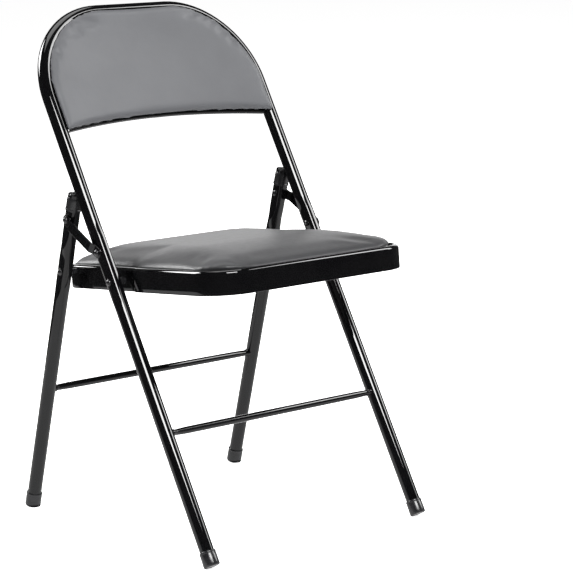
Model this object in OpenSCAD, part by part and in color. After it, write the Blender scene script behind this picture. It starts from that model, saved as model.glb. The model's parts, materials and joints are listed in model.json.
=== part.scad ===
// Folding chair with a bent-tube front frame, hinged rear legs, a steel seat pan with a
// padded cushion and a padded backrest. Millimetres, +Z up, the sitter faces -Y.
// The origin is on the floor under the middle of the open chair.

/* [Front frame] */
// Distance between the centres of the two front tubes
frame_w = 410; // [390:1:450]
// Length of the front frame along its tubes, floor to hoop centre line
frame_len = 884.5; // [845:0.5:925]
// Radius of the two hoop bends, on the centre line
hoop_r = 138; // [110:1:150]
// Lean of the front frame away from upright, degrees
front_lean = 30.5; // [28:0.5:33]
// Outer diameter of the frame and leg tubes
tube_d = 21.5; // [19:0.5:22.5]
// Wall of the frame and leg tubes
tube_wall = 1.2; // [0.9:0.1:1.6]
// Thickness of the tubes where they are flattened for the rivets
flat_t = 17; // [13:0.5:18]

/* [Rear legs] */
// Distance on the floor between the front and rear leg axes
foot_span = 444.7; // [430:0.1:460]
// Lean of the rear legs, degrees
rear_lean = 14; // [12:0.5:16]

/* [Pivots] */
// Height of the seat pivot along the front tube
seat_pivot_t = 448.5; // [436:0.5:456]
// Height of the link pivot along the front tube
link_pivot_t = 496.5; // [488:0.5:506]
// Height of the seat pivot along the rear leg
leg_seat_t = 397.8; // [392:0.1:404]
// Height of the link pivot along the rear leg
leg_link_t = 481.8; // [476:0.1:490]
// Shank diameter of the rivets
rivet_d = 6; // [5:0.5:7]
// Head diameter of the rivets
rivet_head_d = 11; // [9:0.5:12]

/* [Stretchers] */
// Diameter of the two stretcher tubes
stretcher_d = 11; // [9:0.5:13]
// Height of the front stretcher along the front tubes
front_stretcher_t = 208.5; // [185:0.5:235]
// Height of the rear stretcher along the rear legs
rear_stretcher_t = 201.8; // [175:0.1:225]

/* [Seat] */
// Depth of the seat pan in front of its pivot
seat_front = 229; // [222:1:250]
// Depth of the seat pan behind its pivot
seat_rear = 152; // [145:1:165]
// Height of the pan's skirt
skirt_h = 36; // [32:1:40]
// Rise of the seat towards its front edge, degrees
seat_tilt = 6; // [4:0.1:8]
// Sheet thickness of the pan
pan_t = 1.2; // [1:0.1:1.6]
// Gap between the pan's front half and the tubes on each side
pan_gap = 5; // [3:0.5:8]
// Depth of the joggle that narrows the pan at the pivots
pan_step = 5; // [3:0.5:8]
// Height of the seat cushion above the pan's rim
cushion_h = 26; // [18:1:32]

/* [Backrest] */
// How far the backrest curves back at its middle
back_sag = 20; // [14:1:26]
// Height of the backrest's bottom corners along the front tubes
back_bottom_t = 687.5; // [670:0.5:705]
// Rise of the arched bottom edge at its middle
back_arch = 20; // [12:1:26]
// Thickness of the back cushion
back_cushion_t = 10; // [8:0.5:12]

/* [Caps] */
// Wall of the four foot caps
foot_wall = 1.5; // [1.25:0.25:4]
// Height of the foot caps
foot_h = 23; // [18:1:30]
// Length of the two caps on top of the rear legs
top_cap_h = 28; // [25:1:28]

/* [Hidden] */
$fn = 64;

tube_r = tube_d / 2;
flat_half = flat_t / 2;
half_w = frame_w / 2;
bend_t = frame_len - hoop_r;      // where the hoop bends begin
eps = 0.01;
far = 1200;                       // longer than any piece

// running fit between a rivet and the piece that turns on it, per side
fit = 0.06;
rivet_r = rivet_d / 2;
head_r = rivet_head_d / 2;
head_rim = 1;                     // upright edge of a rivet head
head_dome = 3;                    // rise of its dome
tail_r = rivet_r + 1.5;
tail_h = 3;
spacer_r = rivet_r + 2;
skin_gap = 0.4;                   // between flat faces that slide past each other

// links
link_w = 16;
link_t = 2.5;
link_bow = tube_r - flat_half + 2; // how far the middle stands outside the end tabs
tab_len = 8;
ramp_len = 4;
link_x = half_w + flat_half + skin_gap;
link_reach = norm([tab_len + ramp_len, link_w / 2]); // swept by a tab about its rivet

// flattened stretches, from and to along the tube
flat_run = 20;                    // beyond a pivot
front_flat = [seat_pivot_t - flat_run, link_pivot_t + flat_run];
leg_seat_flat = [leg_seat_t - flat_run, leg_seat_t + flat_run];
leg_link_flat = [leg_link_t - flat_run, leg_link_t + link_reach];

// feet
foot_r = tube_r + foot_wall;
foot_floor = 4;                   // plastic under the tube end
foot_sink = 1;                    // worn off level with the floor
foot_chamfer = 1.5;
foot_lip = 1;                     // rounding of the cap's top edge
function foot_start(lean) = ((foot_r - foot_chamfer) * sin(lean) - foot_sink) / cos(lean);

// top caps
cap_wall = 1.6;
cap_dome = tube_r + cap_wall;     // height of the domed end
cap_start = leg_link_t + link_reach + skin_gap;
cap_gap = 0.6;                    // least gap between a cap's dome and the front tube
cap_limit = (foot_span * cos(front_lean) - tube_r - cap_dome - cap_gap)
            / sin(front_lean + rear_lean);
leg_top = min(cap_start + top_cap_h - cap_dome, cap_limit);

// pivots in the side plane, [y, z], measured from the front foot
function along(lean, t) = [t * sin(lean), t * cos(lean)];
pivot_c = along(front_lean, seat_pivot_t);
pivot_b = along(front_lean, link_pivot_t);
pivot_a = [foot_span, 0] + along(-rear_lean, leg_link_t);
pivot_d = [foot_span, 0] + along(-rear_lean, leg_seat_t);
link_len = norm(pivot_a - pivot_b);
link_angle = atan2(pivot_a[1] - pivot_b[1], pivot_a[0] - pivot_b[0]);

// rear seat pivot in the seat's own frame
c_to_d = pivot_d - pivot_c;
seat_d = [c_to_d[0] * cos(seat_tilt) - c_to_d[1] * sin(seat_tilt),
          c_to_d[0] * sin(seat_tilt) + c_to_d[1] * cos(seat_tilt)];

// seat pan
pan_half = half_w - tube_r - pan_gap;
pan_narrow = pan_half - pan_step;
pan_low = -16.5;                  // underside of the skirt from the pivot
pan_top = max(pan_low + skirt_h, seat_d[1] + tail_r + pan_t + skin_gap);
skirt_tall = pan_top - pan_low;
step_from = 22;
step_to = 30;
front_corner = 56;
rear_corner = 28;
rim_w = 7;
dish = 3;                         // depth of the recess that holds the board
board_t = 8;
board_inset = rim_w + 2;
screw_in = 65;                    // seat screws from the pan's edges
screw_r = 2;
screw_head_r = 4;
screw_head_h = 2.2;
screw_len = 7;                    // into the board
screw_fit = 0.2;
cushion_inset = 5;
cushion_band = 4;                 // upright edge of the cushion above the rim
cushion_slope = 34;               // how far the cushion's top is drawn in

// backrest, in the front frame's own plane
outline_in = 1.5;                 // outline inside the tubes' centre line
outline_half = half_w - outline_in;
back_edge_n = -16;                // front face of the cushion at its edge
back_r = (outline_half * outline_half + back_sag * back_sag) / (2 * back_sag);
back_axis = back_edge_n + back_sag - back_r;
curl_drop = 103;
curl_from = frame_len - curl_drop; // above this the face curls forward
curl_r = 290;
panel_t = 1.2;
board_gap = 0.3;
hardboard_t = 3;
board_inset_back = 25;
lip = 8;
lip_ends = 12;                    // lip stops short of the tubes by this much
overrun = 20;                     // the curved sheet is drawn this much past its outline
deep = 60;                        // reach of a cut through the backrest
back_screw_in = 78;               // back screws from the outline's sides
back_screw_up = 38;               // and above its bottom corners
back_screw_r = 1.5;
back_head_r = 3.5;
back_head_h = 2;

// the model's origin in y: midway between the foremost and rearmost points
rear_foot_end = foot_span + foot_r * cos(rear_lean);
rear_end = max(rear_foot_end, frame_len * sin(front_lean) + tube_r);
pan_front = pivot_c[0] - seat_front * cos(seat_tilt) + pan_low * sin(seat_tilt);
foot_low = foot_start(front_lean) + foot_chamfer;
foot_front = foot_low * sin(front_lean) - foot_r * cos(front_lean);
front_end = min(pan_front, foot_front);
mid_y = (rear_end + front_end) / 2;

black_gloss = "#101012";
black_plastic = "#1c1c1d";
steel = "#26262a";
vinyl_back = "#6f7073";
vinyl_seat = "#4a4a4d";
board_brown = "#8a6a45";

// ---- placing ----

module in_front_frame() {
  translate([0, -mid_y, 0]) rotate([-front_lean, 0, 0]) children();
}

module in_rear_legs() {
  translate([0, foot_span - mid_y, 0]) rotate([rear_lean, 0, 0]) children();
}

module in_seat() {
  translate([0, pivot_c[0] - mid_y, pivot_c[1]]) rotate([-seat_tilt, 0, 0]) children();
}

// +Z of the children points outwards along X, on the side s
module sideways(s, x) {
  translate([s * x, 0, 0]) rotate([0, s * 90, 0]) children();
}

module both_sides() {
  children();
  mirror([1, 0, 0]) children();
}

// ---- shared shapes ----

// the tubes beside the backrest and the hoop as one solid bar of radius r
module frame_bar(r) {
  low = back_bottom_t - 2 * overrun;
  both_sides() translate([half_w, 0, low]) cylinder(r = r, h = bend_t - low);
  hoop_bar(r);
}

// the two bends and the top of the hoop
module hoop_bar(r) {
  both_sides() translate([half_w - hoop_r, 0, bend_t]) rotate([90, 0, 0])
    rotate_extrude(angle = 90) translate([hoop_r, 0]) circle(r = r);
  translate([hoop_r - half_w, 0, frame_len]) rotate([0, 90, 0])
    cylinder(r = r, h = frame_w - 2 * hoop_r);
}

// a straight hollow tube on the side s, flattened over each span and drilled at each pivot
module leg_tube(s, from, to, spans, pivots) {
  x = s * half_w;
  difference() {
    translate([x, 0, from]) cylinder(r = tube_r, h = to - from);
    for (span = spans) flatten(x, flat_half, span);
    difference() {
      translate([x, 0, from - 1]) cylinder(r = tube_r - tube_wall, h = to - from + 2);
      for (span = spans) flatten(x, flat_half - tube_wall, grow(span, tube_wall));
    }
    for (t = pivots) cross_hole(t, rivet_r + fit);
  }
}

// blocks that leave a bar only `half` thick to each side between two heights
module flatten(x, half, span) {
  for (s = [-1, 1])
    translate([x + s * (half + tube_r), 0, (span[0] + span[1]) / 2])
      cube([2 * tube_r, 4 * tube_r, span[1] - span[0]], center = true);
}

function grow(span, by) = [span[0] - by, span[1] + by];

module cross_hole(t, r) {
  translate([0, 0, t]) rotate([0, 90, 0]) cylinder(r = r, h = far, center = true);
}

// radius of the ball whose cap is r wide each way and h high
function dome_ball(r, h) = (r * r + h * h) / (2 * h);

// an upright edge with a dome on it
module domed(r, rim, dome) {
  ball = dome_ball(r, dome);
  intersection() {
    cylinder(r = r, h = rim + dome);
    translate([0, 0, rim + dome - ball]) sphere(r = ball);
  }
}

// shank from `from` to `to` along +Z, with the factory head beyond it
module headed_pin(from, to) {
  translate([0, 0, from]) cylinder(r = rivet_r, h = to - from + eps);
  translate([0, 0, to]) domed(head_r, head_rim, head_dome);
}

module rivet(from, to) {
  headed_pin(from - eps, to);
  translate([0, 0, from - tail_h]) cylinder(r = tail_r, h = tail_h);
}

// ---- front frame ----

module front_frame() {
  start = foot_start(front_lean) + foot_floor;
  color(black_gloss) in_front_frame() {
    for (s = [-1, 1])
      leg_tube(s, start, bend_t, [front_flat], [seat_pivot_t, link_pivot_t]);
    difference() {
      hoop_bar(tube_r);
      hoop_bar(tube_r - tube_wall);
    }
  }
}

// a cross tube between two upright tubes, its ends shaped to sit on them
module stretcher(t) {
  translate([0, 0, t]) rotate([0, 90, 0]) difference() {
    cylinder(d = stretcher_d, h = frame_w, center = true);
    cylinder(d = stretcher_d - 2 * tube_wall, h = far, center = true);
    for (s = [-1, 1])
      translate([0, 0, s * half_w]) rotate([0, 90, 0])
        cylinder(r = tube_r, h = 4 * tube_r, center = true);
  }
}

module front_stretcher() {
  color(black_gloss) in_front_frame() stretcher(front_stretcher_t);
}

// ---- caps ----

// a plastic shoe on the tube end, ground flat where it stands
module foot_cap(lean) {
  difference() {
    translate([0, 0, foot_start(lean)]) {
      cylinder(r1 = foot_r - foot_chamfer, r2 = foot_r, h = foot_chamfer);
      translate([0, 0, foot_chamfer]) cylinder(r = foot_r, h = foot_h - 2 * foot_chamfer);
      translate([0, 0, foot_h - foot_chamfer])
        cylinder(r1 = foot_r, r2 = foot_r - foot_lip, h = foot_chamfer);
    }
    translate([0, 0, foot_start(lean) + foot_floor]) cylinder(r = tube_r, h = foot_h);
  }
}

module above_floor() {
  intersection() {
    children();
    translate([0, 0, far / 2]) cube([far, far, far], center = true);
  }
}

module front_foot_caps() {
  color(black_plastic) above_floor() in_front_frame()
    both_sides() translate([half_w, 0, 0]) foot_cap(front_lean);
}

module rear_foot_caps() {
  color(black_plastic) above_floor() in_rear_legs()
    both_sides() translate([half_w, 0, 0]) foot_cap(rear_lean);
}

// a domed sleeve over the tube end
module top_cap() {
  difference() {
    domed(tube_r + cap_wall, leg_top - cap_start, cap_dome);
    translate([0, 0, -eps]) cylinder(r = tube_r, h = leg_top - cap_start + eps);
  }
}

module rear_leg_top_caps() {
  color(black_plastic) in_rear_legs()
    both_sides() translate([half_w, 0, cap_start]) top_cap();
}

// ---- rear legs ----

module rear_leg(s) {
  color(black_gloss) in_rear_legs()
    leg_tube(s, foot_start(rear_lean) + foot_floor, leg_top, [leg_seat_flat, leg_link_flat],
             [leg_seat_t, leg_link_t]);
}

module left_rear_leg() { rear_leg(1); }

module right_rear_leg() { rear_leg(-1); }

module rear_stretcher() {
  color(black_gloss) in_rear_legs() stretcher(rear_stretcher_t);
}

// ---- links ----

// the strip seen edge on: tabs, ramps and a raised middle, from pivot to pivot along Y
module link_profile() {
  end = link_w / 2;
  ramp_0 = tab_len;
  ramp_1 = tab_len + ramp_len;
  inner = [[0, -end], [0, ramp_0], [link_bow, ramp_1], [link_bow, link_len - ramp_1],
           [0, link_len - ramp_0], [0, link_len + end]];
  outer = [for (k = [len(inner) - 1:-1:0]) inner[k] + [link_t, 0]];
  polygon(concat(inner, outer));
}

module link(s) {
  color(black_gloss) translate([0, pivot_b[0] - mid_y, pivot_b[1]]) rotate([link_angle, 0, 0])
    mirror([s < 0 ? 1 : 0, 0, 0]) translate([link_x, 0, 0]) difference() {
      intersection() {
        linear_extrude(link_w, center = true) link_profile();
        rotate([0, 90, 0]) linear_extrude(link_bow + link_t) {
          circle(d = link_w);
          translate([0, link_len]) circle(d = link_w);
          translate([-link_w / 2, 0]) square([link_w, link_len]);
        }
      }
      for (y = [0, link_len])
        translate([-eps, y, 0]) rotate([0, 90, 0])
          cylinder(r = rivet_r + fit, h = link_t + 2 * eps);
    }
}

module left_link() { link(1); }

module right_link() { link(-1); }

// ---- rivets, spacers and washers ----

module link_front_rivets() {
  color(steel) in_front_frame() translate([0, 0, link_pivot_t]) for (s = [-1, 1])
    sideways(s, half_w) rivet(-flat_half, flat_half + 2 * skin_gap + link_t);
}

module link_rear_rivets() {
  color(steel) in_rear_legs() translate([0, 0, leg_link_t]) for (s = [-1, 1])
    sideways(s, half_w) rivet(-flat_half, flat_half + 2 * skin_gap + link_t);
}

// from inside the pan's skirt to the outside of the front tube
skirt_x = half_w - pan_narrow;

module seat_front_rivets() {
  color(steel) in_front_frame() translate([0, 0, seat_pivot_t]) for (s = [-1, 1])
    sideways(s, half_w) rivet(-skirt_x - pan_t - skin_gap, flat_half);
}

module spacer(from, to) {
  translate([0, 0, from]) difference() {
    cylinder(r = spacer_r, h = to - from);
    translate([0, 0, -eps]) cylinder(r = rivet_r + fit, h = to - from + 2 * eps);
  }
}

module seat_front_spacers() {
  color(black_plastic) in_front_frame() translate([0, 0, seat_pivot_t]) for (s = [-1, 1])
    sideways(s, half_w) spacer(-skirt_x + skin_gap, -flat_half);
}

module seat_rear_rivets() {
  color(steel) in_rear_legs() translate([0, 0, leg_seat_t]) for (s = [-1, 1])
    sideways(s, half_w) headed_pin(-skirt_x + skin_gap, flat_half);
}

module seat_rear_spacers() {
  color(black_plastic) in_rear_legs() translate([0, 0, leg_seat_t]) for (s = [-1, 1])
    sideways(s, half_w) spacer(-skirt_x + skin_gap, -flat_half);
}

module seat_rear_rivet_tails() {
  color(steel) in_seat() translate([0, seat_d[0], seat_d[1]]) for (s = [-1, 1])
    sideways(s, pan_narrow) {
      translate([0, 0, -pan_t - eps]) cylinder(r = rivet_r, h = pan_t + eps);
      translate([0, 0, -pan_t - tail_h]) cylinder(r = tail_r, h = tail_h);
    }
}

// ---- seat ----

// plan of the pan, drawn in by `by`, with -Y to the front
module seat_plan(by) {
  wide = pan_half - by;
  narrow = pan_narrow - by;
  fr = front_corner - by;
  rr = rear_corner - by;
  y_front = -seat_front + by;
  y_rear = seat_rear - by;
  polygon([[-wide, -step_to], [-wide, y_front + fr], [wide, y_front + fr], [wide, -step_to],
           [narrow, -step_from], [narrow, y_rear - rr], [-narrow, y_rear - rr],
           [-narrow, -step_from]]);
  for (s = [-1, 1]) {
    translate([s * (wide - fr), y_front + fr]) circle(r = fr);
    translate([s * (narrow - rr), y_rear - rr]) circle(r = rr);
  }
  translate([-(wide - fr), y_front]) square([2 * (wide - fr), fr]);
  translate([-(narrow - rr), y_rear - rr]) square([2 * (narrow - rr), rr]);
}

screw_x = pan_narrow - screw_in;
screw_places = [for (x = [-screw_x, screw_x], y = [screw_in - seat_front, seat_rear - screw_in])
                  [x, y]];

module seat_pan() {
  color(black_gloss) in_seat() difference() {
    translate([0, 0, pan_low]) linear_extrude(skirt_tall) seat_plan(0);
    // hollow below the rim
    translate([0, 0, pan_low - 1]) linear_extrude(skirt_tall + 1 - dish - pan_t) seat_plan(pan_t);
    difference() {
      translate([0, 0, pan_top - dish - pan_t - eps]) linear_extrude(dish + eps)
        seat_plan(pan_t);
      translate([0, 0, pan_top - dish - pan_t - 1]) linear_extrude(dish + 2) seat_plan(rim_w);
    }
    // recess for the board
    translate([0, 0, pan_top - dish]) linear_extrude(dish + 1) seat_plan(rim_w + pan_t);
    cross_hole(0, rivet_r + fit);
    translate([0, seat_d[0], 0]) cross_hole(seat_d[1], rivet_r + fit);
    for (p = screw_places) translate([p[0], p[1], 0]) cylinder(r = screw_r + screw_fit, h = far);
  }
}

module seat_board() {
  color(board_brown) in_seat() difference() {
    translate([0, 0, pan_top - dish]) linear_extrude(board_t) seat_plan(board_inset);
    for (p = screw_places) translate([p[0], p[1], 0]) cylinder(r = screw_r, h = far);
  }
}

module seat_cushion() {
  base = pan_top + board_gap;
  color(vinyl_seat) in_seat() difference() {
    hull() {
      translate([0, 0, base]) linear_extrude(cushion_band) seat_plan(cushion_inset, $fn = 32);
      translate([0, 0, base + cushion_h - board_gap]) linear_extrude(board_gap)
        seat_plan(cushion_inset + cushion_slope, $fn = 32);
    }
    translate([0, 0, base - 1])
      linear_extrude(board_t - dish + 1) seat_plan(board_inset - board_gap);
  }
}

module seat_screws() {
  under = pan_top - dish - pan_t;
  color(steel) in_seat() for (p = screw_places) translate([p[0], p[1], under]) {
    cylinder(r = screw_r - eps, h = pan_t + screw_len);
    translate([0, 0, -screw_head_h]) cylinder(r = screw_head_r, h = screw_head_h);
  }
}

// ---- backrest ----

// face of the backrest at height t, as a forward shift from the straight part
function curl(t) = t < curl_from ? 0 : -pow(t - curl_from, 2) / (2 * curl_r);

// a curved sheet between two depths behind the cushion's face
module back_sheet(d0, d1) {
  low = back_bottom_t - overrun;
  high = frame_len + overrun;
  heights = [low, each [for (k = [0:10]) curl_from + k * (high - curl_from) / 10]];
  front = [for (t = heights) [back_r + d0 + curl(t), t]];
  back = [for (k = [len(heights) - 1:-1:0])
            [back_r + d1 + curl(heights[k]), heights[k]]];
  sweep = 2 * asin((half_w + overrun) / back_r);
  translate([0, back_axis, 0]) rotate([0, 0, 90 - sweep / 2])
    rotate_extrude(angle = sweep, $fn = 180) polygon(concat(front, back));
}

// outline of the backrest seen square on, drawn in by `by`, extruded through its depth
module back_outline(by) {
  half = outline_half - by;
  r = hoop_r - outline_in - by;
  top = frame_len - outline_in - by;
  arch_r = (half * half + back_arch * back_arch) / (2 * back_arch);
  bottom = back_bottom_t + by;
  translate([0, deep, 0]) rotate([90, 0, 0]) linear_extrude(2 * deep) difference() {
    union() {
      translate([-half, bottom]) square([2 * half, top - r - bottom]);
      translate([-(half - r), top - r]) square([2 * (half - r), r]);
      for (s = [-1, 1]) translate([s * (half - r), top - r]) circle(r = r);
    }
    translate([0, bottom + back_arch - arch_r]) circle(r = arch_r, $fn = 360);
  }
}

module back_cushion() {
  color(vinyl_back) in_front_frame() difference() {
    intersection() {
      back_sheet(0, back_cushion_t);
      back_outline(0);
    }
    frame_bar(tube_r + board_gap);
    intersection() {
      back_sheet(back_cushion_t - hardboard_t - board_gap, back_cushion_t + 1);
      back_outline(board_inset_back - board_gap);
    }
  }
}

module back_board() {
  color(board_brown) in_front_frame() difference() {
    intersection() {
      back_sheet(back_cushion_t - hardboard_t, back_cushion_t);
      back_outline(board_inset_back);
    }
    back_screw_places() cylinder(r = back_screw_r, h = deep, center = true);
  }
}

// screws square to the curved panel; +Z points rearwards, 0 is the panel's front face
module back_screw_places() {
  screw_half = outline_half - back_screw_in;
  for (x = [-screw_half, screw_half], t = [back_bottom_t + back_screw_up, curl_from])
    translate([0, back_axis, t]) rotate([0, 0, -asin(x / back_r)])
      translate([0, back_r + back_cushion_t, 0]) rotate([-90, 0, 0]) children();
}

module back_panel() {
  color(black_gloss) in_front_frame() difference() {
    union() {
      intersection() {
        back_sheet(back_cushion_t, back_cushion_t + panel_t);
        back_outline(0);
      }
      // stiffening lip along the arched bottom edge
      intersection() {
        back_sheet(back_cushion_t, back_cushion_t + lip);
        difference() {
          back_outline(0);
          translate([0, 0, panel_t]) back_outline(0);
        }
        translate([0, 0, back_bottom_t])
          cube([2 * (half_w - lip_ends), 2 * deep, 2 * (back_arch + panel_t)], center = true);
      }
    }
    frame_bar(tube_r);
    back_screw_places() cylinder(r = back_screw_r + screw_fit, h = deep, center = true);
  }
}

module back_screws() {
  color(steel) in_front_frame() back_screw_places() {
    translate([0, 0, -hardboard_t])
      cylinder(r = back_screw_r - eps, h = hardboard_t + panel_t + eps);
    translate([0, 0, panel_t]) cylinder(r = back_head_r, h = back_head_h);
  }
}

front_frame();
front_stretcher();
front_foot_caps();
back_panel();
back_board();
back_cushion();
back_screws();
left_rear_leg();
right_rear_leg();
rear_stretcher();
rear_foot_caps();
rear_leg_top_caps();
left_link();
right_link();
link_front_rivets();
link_rear_rivets();
seat_front_rivets();
seat_front_spacers();
seat_rear_rivets();
seat_rear_spacers();
seat_rear_rivet_tails();
seat_pan();
seat_board();
seat_cushion();
seat_screws();
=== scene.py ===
import json
import math

import bpy
from mathutils import Matrix, Vector


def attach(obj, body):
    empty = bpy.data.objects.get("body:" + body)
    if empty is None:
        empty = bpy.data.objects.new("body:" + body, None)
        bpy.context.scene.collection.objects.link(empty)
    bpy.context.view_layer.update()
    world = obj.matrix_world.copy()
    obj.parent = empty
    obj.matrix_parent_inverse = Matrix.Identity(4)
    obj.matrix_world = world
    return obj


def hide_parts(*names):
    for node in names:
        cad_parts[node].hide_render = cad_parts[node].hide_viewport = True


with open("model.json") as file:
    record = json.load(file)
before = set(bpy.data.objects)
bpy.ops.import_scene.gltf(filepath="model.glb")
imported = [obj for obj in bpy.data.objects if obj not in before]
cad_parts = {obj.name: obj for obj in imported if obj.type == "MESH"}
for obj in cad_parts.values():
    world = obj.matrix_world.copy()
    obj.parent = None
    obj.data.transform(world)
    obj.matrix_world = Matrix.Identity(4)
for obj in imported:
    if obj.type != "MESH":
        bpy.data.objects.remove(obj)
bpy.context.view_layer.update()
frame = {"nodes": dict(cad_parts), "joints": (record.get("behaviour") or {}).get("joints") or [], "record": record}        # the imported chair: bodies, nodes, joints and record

scene = bpy.context.scene
mm = 0.001

# where things are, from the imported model
pivots = {joint["name"]: Vector(joint["pos_m"]) for joint in frame["joints"]}
seatPivot = pivots["seat_fold"]
linkPivot = pivots["left_link_fold"]
legPivot = pivots["rear_legs_fold"]

chair = {
    "halfWidth": 205 * mm,        # centre line of the tubes
    "tubeRadius": 10.75 * mm,
    "flatHalf": 8.5 * mm,         # half the pressed tube's thickness at the rivets
    "seatPivotUp": 448.5 * mm,    # along the front tube
    "linkPivotUp": 496.5 * mm,
    "legSeatUp": 397.8 * mm,      # along the rear leg
    "legLinkUp": 481.8 * mm,
    "rearLean": math.radians(14),
    "seatTilt": math.radians(6),
}
frontLean = math.atan2(linkPivot.y - seatPivot.y, linkPivot.z - seatPivot.z)


def upAlong(lean, length):        # a step along a tube that leans back by lean
    return Vector((0, math.sin(lean) * length, math.cos(lean) * length))


frontPlace = (seatPivot - upAlong(frontLean, chair["seatPivotUp"]), -frontLean)
rearPlace = (legPivot - upAlong(-chair["rearLean"], chair["legLinkUp"]), chair["rearLean"])
seatPlace = (seatPivot.copy(), -chair["seatTilt"])


# camera
view = {"place": (-2.29766, -2.77580, 1.03655), "yaw": 41.188, "down": 10.725, "lens": 151.02}
bpy.ops.object.camera_add(
    location=view["place"],
    rotation=(math.radians(90 - view["down"]), 0, -math.radians(view["yaw"])))
camera = bpy.context.object
camera.name = "camera"
camera.data.lens = view["lens"]
camera.data.sensor_width = 36
scene.camera = camera
print("camera placed")


# small tools for modelling
def clearSelection():
    bpy.ops.object.select_all(action="DESELECT")


def openPiece(name):              # names the new primitive and opens it with all of it selected
    piece = bpy.context.object
    piece.name = name
    piece.data.name = name
    bpy.ops.object.mode_set(mode="EDIT")
    bpy.ops.mesh.select_all(action="SELECT")
    return piece


def closePiece(piece, merge=0.00002):
    bpy.ops.mesh.select_all(action="SELECT")
    bpy.ops.mesh.remove_doubles(threshold=merge)
    bpy.ops.mesh.normals_make_consistent(inside=False)
    bpy.ops.object.mode_set(mode="OBJECT")
    return piece


def onlyPiece(piece):             # makes it the one selected and active object
    clearSelection()
    piece.select_set(True)
    bpy.context.view_layer.objects.active = piece


def grow(step, scale=None, centre=None):
    bpy.ops.mesh.extrude_region_move(TRANSFORM_OT_translate={"value": step})
    if scale:
        bpy.ops.transform.resize(value=scale, center_override=centre)


def pick(piece, kind, wanted):    # selects vertices, edges or faces by their place and normal
    bpy.ops.mesh.select_mode(type=kind)
    bpy.ops.mesh.select_all(action="DESELECT")
    bpy.ops.object.mode_set(mode="OBJECT")
    data = piece.data
    if kind == "VERT":
        for vertex in data.vertices:
            vertex.select = wanted(vertex.co)
    elif kind == "EDGE":
        for edge in data.edges:
            ends = [data.vertices[i].co for i in edge.vertices]
            edge.select = wanted(ends[0]) and wanted(ends[1])
    else:
        for face in data.polygons:
            face.select = wanted(face.center, face.normal)
    bpy.ops.object.mode_set(mode="EDIT")


def cutAcross(spots, axis):       # bisects everything square to an axis at each spot
    normal = [0, 0, 0]
    normal[axis] = 1
    for spot in spots:
        bpy.ops.mesh.select_all(action="SELECT")
        point = [0, 0, 0]
        point[axis] = spot
        bpy.ops.mesh.bisect(plane_co=point, plane_no=normal)


def useModifier(piece, kind, **settings):
    onlyPiece(piece)
    modifier = piece.modifiers.new(kind.lower(), kind)
    for key, value in settings.items():
        setattr(modifier, key, value)
    bpy.ops.object.modifier_apply(modifier=modifier.name)


def setDown(piece, place):        # moves a piece from its own upright frame to its place
    onlyPiece(piece)
    piece.location = place[0]
    piece.rotation_euler = (place[1], 0, 0)
    bpy.ops.object.transform_apply(location=True, rotation=True, scale=True)
    return piece


def copyPiece(piece, name, mirror=False):
    onlyPiece(piece)
    bpy.ops.object.duplicate()
    twin = bpy.context.object
    twin.name = name
    twin.data.name = name
    if mirror:
        twin.scale = (-1, 1, 1)
        bpy.ops.object.transform_apply(location=True, rotation=True, scale=True)
        bpy.ops.object.mode_set(mode="EDIT")
        closePiece(twin)
    return twin


def joinPieces(first, *others):
    onlyPiece(first)
    for other in others:
        other.select_set(True)
    bpy.ops.object.join()
    return first


# a lathe shape along Z from its (height, radius) rings
def turnedPiece(name, rings, spokes=40, middle=(0, 0, 0)):
    clearSelection()
    height, radius = rings[0]
    start = (middle[0], middle[1], middle[2] + height)
    bpy.ops.mesh.primitive_circle_add(
        vertices=spokes, radius=radius, fill_type="NGON", location=start)
    piece = openPiece(name)
    bpy.ops.object.mode_set(mode="OBJECT")
    bpy.ops.object.transform_apply(location=True, rotation=True, scale=True)
    bpy.ops.object.mode_set(mode="EDIT")
    bpy.ops.mesh.select_all(action="SELECT")
    for nextHeight, nextRadius in rings[1:]:
        centre = (middle[0], middle[1], middle[2] + nextHeight)
        share = nextRadius / radius
        grow((0, 0, nextHeight - height), (share, share, 1), centre)
        height, radius = nextHeight, nextRadius
    return closePiece(piece)


def smoothPiece(piece, angle=40):
    onlyPiece(piece)
    bpy.ops.object.shade_smooth_by_angle(angle=math.radians(angle))


def fitPiece(piece, body, finish, slot, *nodes):   # finish, body and what it stands for
    piece.data.materials.clear()
    piece.data.materials.append(finish)
    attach(piece, body)
    if nodes:
        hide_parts(*nodes)
    return piece


# finishes
def hexColour(code):              # sRGB hex to the linear values a shader wants
    parts = [int(code[i:i + 2], 16) / 255 for i in (1, 3, 5)]
    return [p / 12.92 if p <= 0.04045 else ((p + 0.055) / 1.055) ** 2.4 for p in parts] + [1]


def addNode(tree, kind, settings, links):
    node = tree.nodes.new("ShaderNode" + kind)
    for key, value in settings.items():
        if isinstance(key, int) or key in node.inputs:
            node.inputs[key].default_value = value
        else:
            setattr(node, key, value)
    for key, source in links.items():
        tree.links.new(source, node.inputs[key])
    return node


def newFinish(name, **values):    # a material with its shader and object coordinates ready
    finish = bpy.data.materials.new(name)
    finish.use_nodes = True
    tree = finish.node_tree
    shader = tree.nodes["Principled BSDF"]
    for key, value in values.items():
        shader.inputs[key.replace("_", " ")].default_value = value
    return finish, tree, shader, addNode(tree, "TexCoord", {}, {}).outputs["Object"]


def addNoise(tree, place, size, detail):    # noise whose blots are about size across
    return addNode(tree, "TexNoise", {"Scale": 1 / size, "Detail": detail}, {"Vector": place})


def addBump(tree, shader, height, strength, depth):
    bump = addNode(tree, "Bump", {"Strength": strength, "Distance": depth}, {"Height": height})
    tree.links.new(bump.outputs["Normal"], shader.inputs["Normal"])


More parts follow.
